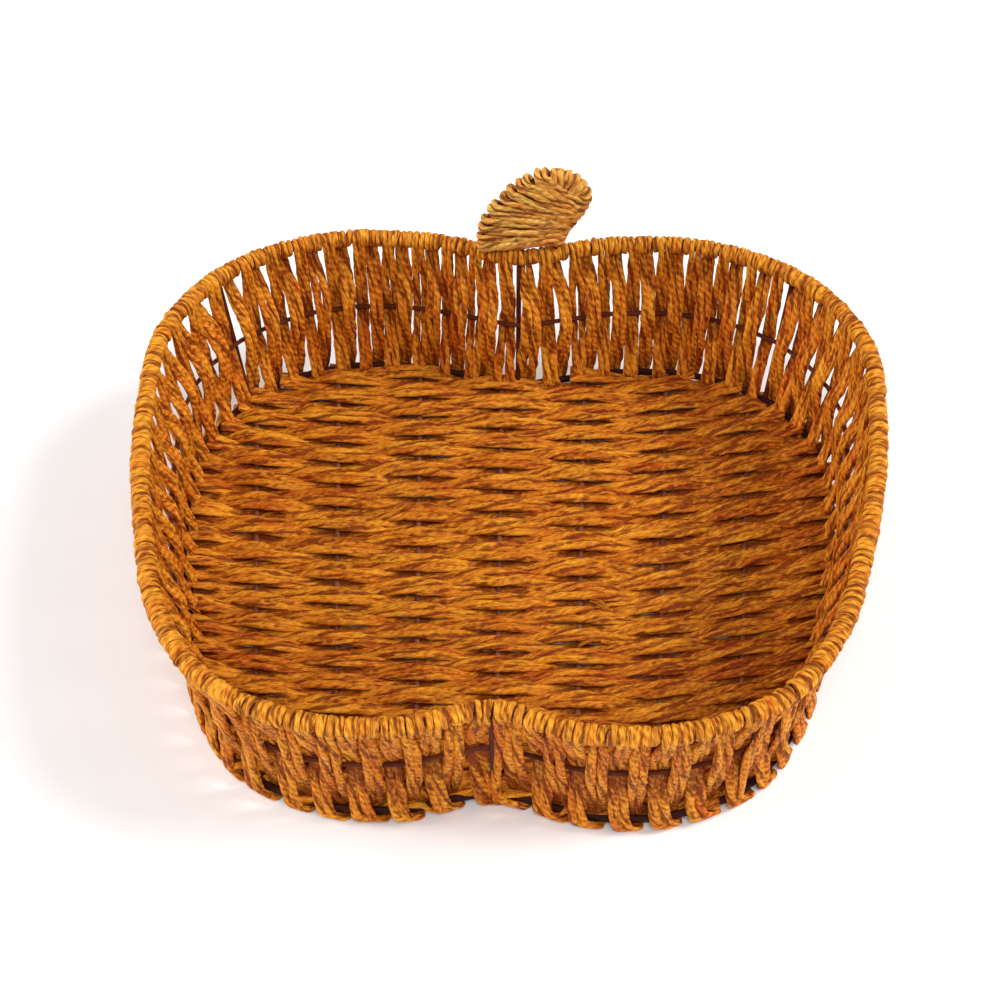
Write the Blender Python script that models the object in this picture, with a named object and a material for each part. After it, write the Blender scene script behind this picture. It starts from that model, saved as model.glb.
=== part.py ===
"""Apple-shaped fruit basket: paper cord laced and woven over a frame of painted steel wire.

Metres, +Z up. The basket stands on z = 0, its front notch faces -Y, and the origin is under the
middle of its rim. Every soft piece of cord is a plain closed solid of its outer shape.
"""

from math import atan2, cos, radians, sin

import bmesh
import bpy
from mathutils import Matrix, Vector

# Overall sizes
WIDTH = 0.300  # across the lobes, over the rim binding
DEPTH = 0.276  # front to back, over the rim binding
RIM_HEIGHT = 0.068  # table to the middle of the rim wire
FLARE = 0.0115  # how far the rim stands outside the base ring

# Outline of the rim wire: relative radius every 15 degrees, from the front notch to the back notch
LOBE_RADII = (0.774, 0.866, 0.949, 0.993, 0.975, 0.948, 0.966, 1.029, 1.134, 1.172, 1.122, 1.012, 0.915)

# Wires
RIM_WIRE = 0.0030
BASE_WIRE = 0.0030
MID_WIRE = 0.0020
UPRIGHT_WIRE = 0.0022
STAKE_WIRE = 0.0022
LEAF_WIRE = 0.0025

# Cord
CORD = 0.0030  # thickness of the paper cord that passes under the base ring
BINDING = 0.0076  # outer diameter of the wrapped rim
WALL_THICKNESS = 0.0072
FLOOR_THICKNESS = 0.0070
LEAF_THICKNESS = 0.0072
LEAF_BORDER = 0.0030  # cord outside the leaf's wire

# Places
MID_HEIGHT = 0.0365
UPRIGHT_ANGLES = (-90, -49, 0, 47, 90, 138, 180, 230)
BAY_NAMES = ("front_right", "right_front", "right_back", "back_right",
             "back_left", "left_back", "left_front", "front_left")
UPRIGHT_NAMES = ("front", "front_right", "right", "back_right",
                 "back", "back_left", "left", "front_left")
STAKE_COUNT = 7
STAKE_PITCH_FRONT = 0.0305  # between stakes along the front gauge line
STAKE_PITCH_BACK = 0.0360  # between stakes along the back gauge line
STAKE_SKEW = -0.0065  # sideways lean of the whole fan at the back gauge line
STAKE_GAUGE = 0.094  # distance of both gauge lines from the origin

# Leaf wire: sideways place and height along the leaf, from one foot on the rim to the other
LEAF_FEET = (-0.0145, 0.0150)
LEAF_PATH = ((-0.0148, 0.012), (-0.0110, 0.0215), (-0.0030, 0.0300), (0.0070, 0.0365), (0.0165, 0.0385),
             (0.0240, 0.0355), (0.0270, 0.0295), (0.0238, 0.0235), (0.0195, 0.0165), (0.0158, 0.0090))

# Clearances and resolution
GAP = 0.0003  # between pieces that touch
WIRE_CLEARANCE = 0.0004  # round a wire that lies in cord
BAY_STEPS = 7
END_STEP = 0.001  # squares each bay's end face to the outline
OUTLINE_STEPS = 720

BASE_HEIGHT = CORD + BASE_WIRE / 2 + GAP  # the cord passes under the base ring
WALL_SLANT = atan2(FLARE, RIM_HEIGHT - BASE_HEIGHT)

PARTS = "woven_fruit_basket"


# ---------------------------------------------------------------- scene and materials

def clear_scene():
    for existing in list(bpy.data.objects):
        bpy.data.objects.remove(existing, do_unlink=True)


def make_collection(name):
    made = bpy.data.collections.new(name)
    bpy.context.scene.collection.children.link(made)
    return made


def make_material(name, colour, roughness, metallic):
    made = bpy.data.materials.new(name)
    made.use_nodes = True
    shader = made.node_tree.nodes["Principled BSDF"]
    shader.inputs["Base Color"].default_value = (*colour, 1.0)
    shader.inputs["Roughness"].default_value = roughness
    shader.inputs["Metallic"].default_value = metallic
    return made


def painted_wire(name):
    return make_material(name, (0.045, 0.022, 0.012), 0.42, 0.35)


def paper_cord(name, colour):
    return make_material(name, colour, 0.62, 0.0)


# ---------------------------------------------------------------- smooth lines

def smooth(values, place):
    """The value at a place, counted in steps, on a smooth line through values. Its ends lie flat."""
    last = len(values) - 1
    index = min(int(place), last - 1)
    share = place - index
    near = [values[abs(i) if i <= last else 2 * last - i] for i in range(index - 1, index + 3)]
    before, start, end, after = near
    return start + 0.5 * share * (
        end - before
        + share * (2 * before - 5 * start + 4 * end - after
                   + share * (3 * (start - end) + after - before)))


def smooth_points(points, steps):
    """A finer line through 2D or 3D points, with its first and last tangents along its ends."""
    line = [2 * points[0] - points[1], *points, 2 * points[-1] - points[-2]]
    found = []
    for index in range(1, len(line) - 2):
        before, start, end, after = line[index - 1:index + 3]
        for step in range(steps):
            t = step / steps
            found.append(start + 0.5 * t * (
                end - before + t * (2 * before - 5 * start + 4 * end - after
                                    + t * (3 * (start - end) + after - before))))
    return [*found, points[-1]]


# ---------------------------------------------------------------- the apple outline

def raw_outline():
    """Points round the relative outline, anticlockwise from the front notch."""
    half = OUTLINE_STEPS // 2
    points = []
    for step in range(OUTLINE_STEPS):
        folded = min(step, OUTLINE_STEPS - step)
        radius = smooth(LOBE_RADII, folded * (len(LOBE_RADII) - 1) / half)
        angle = radians(step * 360 / OUTLINE_STEPS - 90)
        points.append(Vector((radius * cos(angle), radius * sin(angle))))
    return points


def scaled_outline():
    """The rim wire's outline at its real size, centred front to back."""
    points = raw_outline()
    right = max(p.x for p in points)
    front, back = min(p.y for p in points), max(p.y for p in points)
    across = (WIDTH - BINDING) / 2 / right
    along = (DEPTH - BINDING) / (back - front)
    middle = (front + back) / 2
    return [Vector((p.x * across, (p.y - middle) * along)) for p in points]


def outward(points):
    """The outward unit normal at each point of a closed anticlockwise outline."""
    count = len(points)
    found = []
    for index in range(count):
        along = (points[(index + 1) % count] - points[index - 1]).normalized()
        found.append(Vector((along.y, -along.x)))
    return found


class Outline:
    """The rim wire's closed line, which every ring, bay and slab is offset from."""

    def __init__(self):
        self.points = scaled_outline()
        self.normals = outward(self.points)
        self.lengths = [0.0]
        for index in range(OUTLINE_STEPS):
            step = self.points[(index + 1) % OUTLINE_STEPS] - self.points[index]
            self.lengths.append(self.lengths[-1] + step.length)
        self.perimeter = self.lengths[-1]

    def length_at_angle(self, degrees):
        place = (degrees + 90) % 360 * OUTLINE_STEPS / 360
        index = int(place)
        return self.lengths[index] + (place - index) * (self.lengths[index + 1] - self.lengths[index])

    def at(self, length):
        """(point, normal) at a distance round the outline."""
        length %= self.perimeter
        low, high = 0, OUTLINE_STEPS
        while high - low > 1:
            middle = (low + high) // 2
            low, high = (middle, high) if self.lengths[middle] <= length else (low, middle)
        share = (length - self.lengths[low]) / (self.lengths[low + 1] - self.lengths[low])
        after = (low + 1) % OUTLINE_STEPS
        point = self.points[low].lerp(self.points[after], share)
        return point, self.normals[low].lerp(self.normals[after], share).normalized()

    def offset(self, length, out, height):
        """A 3D point that stands out from the rim line by out, at a height."""
        point, normal = self.at(length)
        return Vector((*(point + normal * out), height))


def wall_out(height):
    """How far the wall's middle surface stands outside the rim line at a height."""
    return -FLARE * (RIM_HEIGHT - height) / (RIM_HEIGHT - BASE_HEIGHT)


def bay_lengths(outline):
    """For each bay, its stations round the outline, between the slits that hold two uprights."""
    corners = [outline.length_at_angle(angle) for angle in UPRIGHT_ANGLES]
    corners.append(corners[0] + outline.perimeter)
    slit = UPRIGHT_WIRE / 2 + WIRE_CLEARANCE
    bays = []
    for start, end in zip(corners, corners[1:]):
        first, span = start + slit, end - start - 2 * slit
        inner = [first + span * step / BAY_STEPS for step in range(1, BAY_STEPS)]
        bays.append([first, first + END_STEP, *inner, first + span - END_STEP, first + span])
    return bays


# ---------------------------------------------------------------- building tools

def wire(name, points, thickness, home, material=None, closed=False, resolution=2):
    """A round wire along points, with filled ends."""
    data = bpy.data.curves.new(name, "CURVE")
    data.dimensions = "3D"
    data.twist_mode = "Z_UP"
    data.bevel_depth = thickness / 2
    data.bevel_resolution = resolution
    data.use_fill_caps = not closed
    add_line(data, points, closed)
    return place(name, data, home, material)


def add_line(data, points, closed):
    line = data.splines.new("POLY")
    line.points.add(len(points) - 1)
    for target, point in zip(line.points, points):
        target.co = (*point.to_3d(), 1.0)
    line.use_cyclic_u = closed
    line.use_smooth = True


def place(name, data, home, material=None):
    made = bpy.data.objects.new(name, data)
    home.objects.link(made)
    if material:
        data.materials.append(material)
    return made


def as_cutter(target):
    target.hide_render = True
    target.display_type = "WIRE"
    return target


def to_mesh(curve_object):
    """Replaces a curve object with a welded mesh of its evaluated shape."""
    name, home = curve_object.name, curve_object.users_collection[0]
    bpy.context.view_layer.update()
    graph = bpy.context.evaluated_depsgraph_get()
    mesh = bpy.data.meshes.new_from_object(curve_object.evaluated_get(graph))
    work = bmesh.new()
    work.from_mesh(mesh)
    bmesh.ops.remove_doubles(work, verts=work.verts, dist=0.00001)
    bmesh.ops.recalc_face_normals(work, faces=work.faces)
    if work.calc_volume(signed=True) < 0:
        bmesh.ops.reverse_faces(work, faces=work.faces)
    work.to_mesh(mesh)
    work.free()
    made = bpy.data.objects.new(name + "_mesh", mesh)
    made.matrix_world = curve_object.matrix_world
    home.objects.link(made)
    bpy.data.objects.remove(curve_object, do_unlink=True)
    made.name = name
    return made


def cut(target, cutter):
    change = target.modifiers.new(cutter.name, "BOOLEAN")
    change.operation = "DIFFERENCE"
    change.object = cutter
    change.use_self = True


def section(name, corners, home):
    """A closed flat profile: x stands out from the wall, y is up."""
    data = bpy.data.curves.new(name, "CURVE")
    data.dimensions = "2D"
    data.fill_mode = "NONE"
    add_line(data, [Vector(corner) for corner in corners], True)
    return as_cutter(place(name, data, home))


def swept(name, points, profile, home, material, closed=False):
    """A profile carried along points, as a mesh."""
    data = bpy.data.curves.new(name, "CURVE")
    data.dimensions = "3D"
    data.twist_mode = "Z_UP"
    data.bevel_mode = "OBJECT"
    data.bevel_object = profile
    data.use_fill_caps = not closed
    add_line(data, points, closed)
    made = to_mesh(place(name, data, home))
    if material:
        made.data.materials.append(material)
    return made


def slab(name, outline, thickness, home, material):
    """A flat plate of an outline in its own XY plane, with half its thickness on each side."""
    data = bpy.data.curves.new(name, "CURVE")
    data.dimensions = "2D"
    data.fill_mode = "BOTH"
    data.extrude = thickness / 2
    add_line(data, outline, True)
    made = to_mesh(place(name, data, home))
    made.data.materials.append(material)
    return made


def box(name, centre, size, turn, home):
    mesh = bpy.data.meshes.new(name)
    work = bmesh.new()
    bmesh.ops.create_cube(work, size=1.0, matrix=Matrix.Diagonal((*size, 1.0)))
    work.to_mesh(mesh)
    work.free()
    made = place(name, mesh, home)
    made.location = centre
    made.rotation_euler.z = turn
    return made


# ---------------------------------------------------------------- wire frame

def make_rings(outline, stations, parts, brown):
    """The three closed rings: under the rim binding, at mid height and at the base."""
    mid_out = wall_out(MID_HEIGHT) - (UPRIGHT_WIRE / 2 + MID_WIRE / 2 + GAP)
    for name, out, height, thickness, sides in (
            ("rim_wire", 0.0, RIM_HEIGHT, RIM_WIRE, 2),
            ("mid_ring_wire", mid_out, MID_HEIGHT, MID_WIRE, 1),
            ("base_ring_wire", -FLARE, BASE_HEIGHT, BASE_WIRE, 2)):
        points = [outline.offset(length, out, height) for length in stations]
        wire(name, points, thickness, parts, brown, closed=True, resolution=sides)


def make_uprights(outline, parts, brown):
    """Straight wires in the wall's middle surface, from the base ring up to the rim wire."""
    for angle, name in zip(UPRIGHT_ANGLES, UPRIGHT_NAMES):
        length = outline.length_at_angle(angle)
        foot = outline.offset(length, -FLARE, BASE_HEIGHT)
        head = outline.offset(length, 0.0, RIM_HEIGHT)
        along = (head - foot).normalized()
        foot += along * (BASE_WIRE / 2 + GAP)
        head -= along * (RIM_WIRE / 2 + GAP)
        wire("upright_" + name, [foot, head], UPRIGHT_WIRE, parts, brown)


def stake_line(index):
    """(point, direction) of a floor stake in plan, running front to back."""
    place_in_fan = index - (STAKE_COUNT - 1) / 2
    front = Vector((place_in_fan * STAKE_PITCH_FRONT, -STAKE_GAUGE))
    back = Vector((STAKE_SKEW + place_in_fan * STAKE_PITCH_BACK, STAKE_GAUGE))
    return front, (back - front).normalized()


def crossings(ring, start, along):
    """Signed distances along a line to where it crosses a closed outline, from front to back."""
    side = Vector((along.y, -along.x))
    found = []
    for index, point in enumerate(ring):
        after = ring[(index + 1) % len(ring)]
        near, far = (point - start).dot(side), (after - start).dot(side)
        if (near < 0) != (far < 0):
            found.append((point.lerp(after, near / (near - far)) - start).dot(along))
    return min(found), max(found)


def stake_ends(ring, index):
    """The furthest front and back distances that keep a whole stake inside a closed outline."""
    start, along = stake_line(index)
    side = Vector((along.y, -along.x)) * STAKE_WIRE / 2
    found = [crossings(ring, start + side * share, along) for share in (-1, 0, 1)]
    return max(front for front, _ in found), min(back for _, back in found)


def make_stakes(outline, stations, parts, brown):
    inside = -FLARE - BASE_WIRE / 2 - GAP
    ring = [outline.offset(length, inside, 0.0).to_2d() for length in stations]
    for index in range(STAKE_COUNT):
        start, along = stake_line(index)
        ends = [(start + along * distance).to_3d() for distance in stake_ends(ring, index)]
        for end in ends:
            end.z = BASE_HEIGHT
        wire(f"floor_stake_{index + 1}", ends, STAKE_WIRE, parts, brown)


# ---------------------------------------------------------------- cord solids

def make_binding(outline, stations, parts, cutters, cord):
    """A C-shaped sleeve round the rim wire. Its slot faces down the wall, for the uprights."""
    outer, inner = BINDING / 2, RIM_WIRE / 2 + GAP
    half_slot = UPRIGHT_WIRE / 2 + WIRE_CLEARANCE
    down = -radians(90) - WALL_SLANT
    corners = []
    for radius, steps, turn in ((outer, 9, 1), (inner, 6, -1)):
        open_angle = half_slot / radius
        for step in range(steps + 1):
            angle = open_angle + (2 * radians(180) - 2 * open_angle) * step / steps
            corners.append((radius * cos(down + turn * angle), radius * sin(down + turn * angle)))
    profile = section("binding_section", corners, cutters)
    path = [outline.offset(length, 0.0, RIM_HEIGHT) for length in stations]
    return swept("rim_binding", path, profile, parts, cord, closed=True)


def wall_corners():
    """The wall's section from its flat foot up, with open grooves for the base and mid wires."""
    half = WALL_THICKNESS / 2
    top = RIM_HEIGHT - BINDING / 2 - GAP
    hook = BASE_WIRE / 2 + WIRE_CLEARANCE
    groove = MID_WIRE / 2 + WIRE_CLEARANCE
    mid_wire_out = wall_out(MID_HEIGHT) - (UPRIGHT_WIRE / 2 + MID_WIRE / 2 + GAP)
    groove_out = mid_wire_out + groove
    return [
        (-FLARE - hook, 0.0),
        (-FLARE + half - GAP, 0.0),
        (wall_out(BASE_HEIGHT / 2) + half, BASE_HEIGHT / 2),
        (wall_out(top) + half, top),
        (wall_out(top) - half, top),
        (wall_out(MID_HEIGHT + groove) - half, MID_HEIGHT + groove),
        (groove_out, MID_HEIGHT + groove),
        (groove_out, MID_HEIGHT - groove),
        (wall_out(MID_HEIGHT - groove) - half, MID_HEIGHT - groove),
        (wall_out(BASE_HEIGHT + hook) - half, BASE_HEIGHT + hook),
        (-FLARE + hook, BASE_HEIGHT + hook),
        (-FLARE + hook, BASE_HEIGHT - hook),
        (-FLARE - hook, BASE_HEIGHT - hook),
    ]


def make_wall(outline, bays, parts, cutters, cord):
    """One curved panel of lacing in each bay between two uprights."""
    profile = section("wall_section", wall_corners(), cutters)
    for name, lengths in zip(BAY_NAMES, bays):
        path = [outline.offset(length, 0.0, 0.0) for length in lengths]
        swept("wall_lacing_" + name, path, profile, parts, cord)


def make_floor(outline, stations, parts, cutters, cord):
    """The woven floor: a plate inside the wall, slotted from below for the stakes."""
    edge = -FLARE - WALL_THICKNESS / 2 - GAP
    corners = [outline.offset(length, edge, 0.0).to_2d() for length in stations]
    floor = slab("floor_weave", corners, FLOOR_THICKNESS, parts, cord)
    floor.location.z = BASE_HEIGHT
    top = STAKE_WIRE / 2 + WIRE_CLEARANCE
    bottom = -FLOOR_THICKNESS
    for index in range(STAKE_COUNT):
        start, along = stake_line(index)
        size = (2 * top, 2 * DEPTH, top - bottom)
        centre = (start.x + along.x * STAKE_GAUGE, 0.0, BASE_HEIGHT + (top + bottom) / 2)
        turn = -atan2(along.x, along.y)
        cut(floor, as_cutter(box(f"stake_slot_{index + 1}", centre, size, turn, cutters)))
    return floor


# ---------------------------------------------------------------- leaf

class LeafPlane:
    """The leaf's own flat frame: it rises from the back notch and leans with the wall."""

    def __init__(self, outline):
        self.outline = outline
        self.foot = outline.offset(outline.length_at_angle(90), 0.0, RIM_HEIGHT)

    def matrix(self):
        lean = Matrix.Rotation(radians(90) - WALL_SLANT, 4, "X")
        return Matrix.Translation(self.foot) @ lean

    def point(self, across, up):
        return self.matrix() @ Vector((across, up, 0.0))

    def rim_point(self, across, above):
        """A point straight over the rim wire, near the notch."""
        near = min((p for p in self.outline.points if p.y > 0), key=lambda p: abs(p.x - across))
        return Vector((near.x, near.y, RIM_HEIGHT + above))


def leaf_wire_points(plane, start_above):
    feet = [plane.rim_point(across, start_above) for across in LEAF_FEET]
    middle = [plane.point(across, up) for across, up in LEAF_PATH]
    return smooth_points([feet[0], *middle, feet[1]], 3)


def leaf_border():
    """The wrapped leaf's outline: the wire's own line moved outward, in the leaf's frame."""
    line = smooth_points([Vector(point) for point in LEAF_PATH], 3)
    found = []
    for index, point in enumerate(line):
        along = (line[min(index + 1, len(line) - 1)] - line[max(index - 1, 0)]).normalized()
        found.append(point + Vector((-along.y, along.x)) * (LEAF_WIRE / 2 + LEAF_BORDER))
    bottom = BINDING / 2 + 2 * GAP + LEAF_THICKNESS / 2 * sin(WALL_SLANT)
    return [Vector((found[0].x, bottom)), *found, Vector((found[-1].x, bottom))]


def make_leaf(outline, binding, parts, cutters, brown, cord):
    """The wire loop on the back of the rim, and the cord wrapped over it."""
    plane = LeafPlane(outline)
    above = RIM_WIRE / 2 + GAP
    points = leaf_wire_points(plane, above)
    wire("leaf_wire", points, LEAF_WIRE, parts, brown)
    room = LEAF_WIRE + 2 * WIRE_CLEARANCE
    for index, (end, inner) in enumerate(((points[0], points[2]), (points[-1], points[-3]))):
        below = Vector((end.x, end.y, end.z - GAP - RIM_WIRE / 4))
        hole = wire(f"leaf_foot_hole_{index + 1}", [below, end, inner], room, cutters)
        cut(binding, as_cutter(to_mesh(hole)))
    wrap = slab("leaf_wrap", leaf_border(), LEAF_THICKNESS, parts, cord)
    wrap.matrix_world = plane.matrix()
    half = LEAF_WIRE / 2 + WIRE_CLEARANCE
    deep = LEAF_THICKNESS
    corners = [(-half, -deep), (half, -deep), (half, half), (-half, half)]
    groove = section("leaf_groove_section", corners, cutters)
    flat = [Vector((point.x, point.y, 0.0)) for point in
            smooth_points([Vector((LEAF_FEET[0], 0.0)), *(Vector(p) for p in LEAF_PATH),
                           Vector((LEAF_FEET[1], 0.0))], 3)]
    cutter = swept("leaf_wire_groove", flat, groove, cutters, None)
    cutter.matrix_world = plane.matrix()
    cut(wrap, as_cutter(cutter))


def main():
    clear_scene()
    parts = make_collection(PARTS)
    cutters = make_collection("cutters")
    brown = painted_wire("brown_wire")
    outline = Outline()
    bays = bay_lengths(outline)
    stations = [length for bay in bays for length in bay]
    make_rings(outline, stations, parts, brown)
    make_uprights(outline, parts, brown)
    make_stakes(outline, stations, parts, brown)
    rim_cord = paper_cord("rim_cord", (0.62, 0.33, 0.07))
    wall_cord = paper_cord("wall_cord", (0.50, 0.24, 0.045))
    floor_cord = paper_cord("floor_cord", (0.55, 0.27, 0.05))
    leaf_cord = paper_cord("leaf_cord", (0.58, 0.30, 0.06))
    binding = make_binding(outline, stations, parts, cutters, rim_cord)
    make_wall(outline, bays, parts, cutters, wall_cord)
    make_floor(outline, stations, parts, cutters, floor_cord)
    make_leaf(outline, binding, parts, cutters, brown, leaf_cord)


main()
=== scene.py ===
import bpy
import numpy as np
from mathutils import Matrix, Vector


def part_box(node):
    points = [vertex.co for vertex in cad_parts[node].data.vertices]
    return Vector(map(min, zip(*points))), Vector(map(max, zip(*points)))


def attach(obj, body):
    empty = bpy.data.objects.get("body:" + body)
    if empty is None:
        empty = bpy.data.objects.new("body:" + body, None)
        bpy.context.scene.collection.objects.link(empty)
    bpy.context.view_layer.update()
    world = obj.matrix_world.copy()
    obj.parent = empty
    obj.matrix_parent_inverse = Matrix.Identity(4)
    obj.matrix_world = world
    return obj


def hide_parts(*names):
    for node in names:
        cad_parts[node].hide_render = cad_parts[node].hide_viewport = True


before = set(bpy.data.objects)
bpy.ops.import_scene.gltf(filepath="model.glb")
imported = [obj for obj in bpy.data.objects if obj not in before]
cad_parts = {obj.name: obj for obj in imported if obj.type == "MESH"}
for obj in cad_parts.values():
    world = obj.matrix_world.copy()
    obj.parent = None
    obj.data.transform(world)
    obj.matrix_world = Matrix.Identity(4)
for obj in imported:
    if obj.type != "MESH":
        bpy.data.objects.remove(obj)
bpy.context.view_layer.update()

MM = 0.001
RNG = np.random.default_rng(11)

# Outline of the rim wire: relative radius every 15 degrees, from the front notch to the back notch
LOBE_RADII = (0.774, 0.866, 0.949, 0.993, 0.975, 0.948, 0.966, 1.029, 1.134, 1.172, 1.122, 1.012, 0.915)

# Bays between uprights: periods of lacing, room kept clear beside each upright in millimetres, cord width
BAYS = {
    "front_right": (6, 1.8, 0.3, 0.9), "right_front": (8, 1.8, 0.3, 1.1), "right_back": (9, 0.4, 1.0, 1.1),
    "back_right": (9, 2.4, 1.0, 1.0), "back_left": (10, 1.2, 3.3, 1.0), "left_back": (8, 1.3, 0.5, 1.12),
    "left_front": (8, 0.5, 0.3, 1.14), "front_left": (6, 1.8, 0.3, 0.9)}
# Bays whose first upright has a strand laid over it, and how far that strand leans, in millimetres
COVERED = {"front_right": 2.8, "right_front": 0.4, "front_left": 0.4}
UPRIGHTS = ("front", "front_right", "right", "back_right",
            "back", "back_left", "left", "front_left")

# Cord
CORD_RADIUS = 1.70 * MM
RIDGES = ((1, 0.03), (2, 0.09), (3, 0.07), (4, 0.05), (5, 0.04))  # folds round the cord, and their depths
TWIST_PITCH = 42.0 * MM
CORD_STEP = 1.0 * MM
AROUND = 12
SIDE_FLAT = 0.80  # thickness of a strand on the wall, as a share of its radius
RIM_FLAT = 0.64
CREASE_SHADE = 0.85  # how much of the painted shade's dark colour the deepest grooves take

# Lacing
LACING_PERIOD = 15.4 * MM  # along the rim, for a full-width pair of cords inside and a pair outside
WRAP_PITCH = 3.02 * MM
WRAP_REACH = 2.65 * MM  # from the rim wire's middle to the cord's middle
WRAP_IN = (-75, 184)  # degrees round the rim wire, from the outside over the top, before going down inside
WRAP_OUT = (-11, 250)  # and after coming up outside
WRAP_ROUND = (-80, 262)  # and for a turn that only goes round the rim wire
BASE_REACH = 3.0 * MM
MID_REACH = 2.3 * MM
CROSSINGS = (5.4, 5.2)  # radians round the base ring where each cord of a pair starts to move sideways
CROSSED = 0.82  # share of the sideways step done under the base ring
FULL_TURN = 6.28
SOFT_BEND = 3.0 * MM  # height over which a strand bends at the mid ring
SIDE_STEPS = 26
UNDER_STEPS = 15
BARE_RIM = 25.0 * MM  # how far right of the middle the rim wire shows
BARE_HALF = 4.0 * MM

# Leaf wire: sideways place and height along the leaf, between its feet on the rim
LEAF_FEET = (-0.0145, 0.0150)
LEAF_PATH = ((-0.0148, 0.012), (-0.0110, 0.0215), (-0.0030, 0.0300), (0.0070, 0.0365), (0.0165, 0.0385),
             (0.0240, 0.0355), (0.0270, 0.0295), (0.0238, 0.0235), (0.0195, 0.0165), (0.0158, 0.0090))
LEAF_REACH = 2.45 * MM
LEAF_PASSES = 12
LEAF_LEFT = (6.2, 50.5)  # stretches of the wire, in millimetres from its left foot, that the passes turn round
LEAF_RIGHT = (8.0, 29.5)  # and from its right foot
LEAF_TIP = (53.5, 71.5)
TIP_TURNS = 7

# Floor
ROW_PITCH = 6.18 * MM
FIRST_ROW = 85.9 * MM
WEAVE_LIFT = 2.25 * MM
STAKES = 7
FLOOR_PIECES = 5
CUT_ENDS = ((0.034, -0.041, 20), (0.038, -0.021, -35), (0.064, -0.052, 12), (0.091, -0.008, -20),
            (-0.093, 0.090, 40), (0.098, 0.086, 15))  # across, back, heading in degrees

# Studio and camera
TABLE_HALF = 12.0
SUNS = (("key", 95, 42, 2.1), ("fill", -88, 25, 1.75), ("front", 4, 56, 1.4))  # azimuth, elevation, strength
SUN_SPREAD = 0.42
CAMERA_ANGLES = (2.96, 45.5, -0.49)  # azimuth, elevation, roll in degrees
CAMERA_TARGET = (-0.0032, 0.0097, 0.0350)
CAMERA_DISTANCE = 0.8386
CAMERA_LENS = 75.2


# ---------------------------------------------------------------- the frame's own sizes

def node_points(name):
    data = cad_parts[name].data
    found = np.zeros(len(data.vertices) * 3)
    data.vertices.foreach_get("co", found)
    return found.reshape(-1, 3)


def wire_ends(name, axis):
    """The middles of a straight wire's two ends."""
    points = node_points(name)
    along = points[:, axis]
    low, high = along.min(), along.max()
    reach = (high - low) * 0.05
    return points[along < low + reach].mean(0), points[along > high - reach].mean(0)


def smooth_values(values, places):
    """A smooth line through values at places counted in steps. Its ends lie flat."""
    values = np.array(values)
    last = len(values) - 1
    index = np.minimum(places.astype(int), last - 1)
    t = places - index
    before, start = values[np.abs(index - 1)], values[index]
    end = values[index + 1]
    after = values[np.where(index + 2 <= last, index + 2, 2 * last - index - 2)]
    return start + 0.5 * t * (end - before + t * (2 * before - 5 * start + 4 * end - after
                                                  + t * (3 * (start - end) + after - before)))


def ease(value):
    value = np.clip(value, 0, 1)
    return value * value * (3 - 2 * value)


class Outline:
    """The rim wire's closed line, anticlockwise from the front notch, in arc length."""

    def __init__(self, steps=1440):
        low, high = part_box("rim_wire")
        self.rim_radius = (high.z - low.z) / 2
        self.rim_height = (high.z + low.z) / 2
        folded = np.minimum(np.arange(steps), steps - np.arange(steps))
        radius = smooth_values(LOBE_RADII, folded * (len(LOBE_RADII) - 1) / (steps // 2))
        angle = np.radians(np.arange(steps) * 360 / steps - 90)
        x, y = radius * np.cos(angle), radius * np.sin(angle)
        x *= (high.x - self.rim_radius) / x.max()
        y = low.y + self.rim_radius + (y - y.min()) * (high.y - low.y - 2 * self.rim_radius) / np.ptp(y)
        self.points = np.column_stack((x, y))
        step = np.roll(self.points, -1, 0) - self.points
        length = np.linalg.norm(step, axis=1)
        along = np.roll(self.points, -1, 0) - np.roll(self.points, 1, 0)
        along /= np.linalg.norm(along, axis=1)[:, None]
        self.normals = np.column_stack((along[:, 1], -along[:, 0]))
        self.lengths = np.concatenate(([0.0], np.cumsum(length)))
        self.perimeter = self.lengths[-1]
        low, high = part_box("base_ring_wire")
        self.base_height = (high.z + low.z) / 2
        self.base_radius = (high.z - low.z) / 2
        self.flare = x.max() - (high.x - self.base_radius)
        low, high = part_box("mid_ring_wire")
        self.mid_height = (high.z + low.z) / 2
        self.mid_out = high.x - (high.z - low.z) / 2 - x.max()

    def at(self, length):
        length = np.mod(length, self.perimeter)
        point, normal = (np.column_stack([
            np.interp(length, self.lengths, np.append(line[:, side], line[0, side]))
            for side in (0, 1)]) for line in (self.points, self.normals))
        return point, normal / np.linalg.norm(normal, axis=1)[:, None]

    def place(self, length, out, height):
        """3D points that stand out from the rim line by out, and the direction along it there."""
        point, normal = self.at(length)
        point = point + normal * np.asarray(out)[:, None]
        along = np.column_stack((-normal[:, 1], normal[:, 0], np.zeros(len(normal))))
        return np.column_stack((point, height)), along

    def stretch(self, length, out):
        """How much wider the lacing lies there than on the rim line itself."""
        ahead, behind = self.at(length + 4 * MM)[1], self.at(length - 4 * MM)[1]
        bend = (behind[:, 0] * ahead[:, 1] - behind[:, 1] * ahead[:, 0]) / (8 * MM)
        return 1 + out * bend

    def nearest(self, point):
        return self.lengths[np.argmin(np.linalg.norm(self.points - point[:2], axis=1))]


# ---------------------------------------------------------------- twisted paper cord

THETA = np.arange(AROUND) * 2 * np.pi / AROUND


def folds():
    """The folded paper's own section: how far each side stands out, as a share of the radius."""
    return sum(depth * RNG.uniform(0.5, 1.4) * np.cos(count * THETA + RNG.uniform(0, 2 * np.pi))
               for count, depth in RIDGES)


def slow_noise(count, spacing, columns=1):
    """Smooth noise along a cord, about -1 to 1, with a new value every few steps."""
    knots = RNG.normal(0, 0.5, (int(count / spacing) + 3, columns))
    places = np.arange(count) / spacing + RNG.random()
    index = places.astype(int)
    share = (places - index)[:, None]
    share = share * share * (3 - 2 * share)
    return knots[index] * (1 - share) + knots[index + 1] * share


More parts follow.
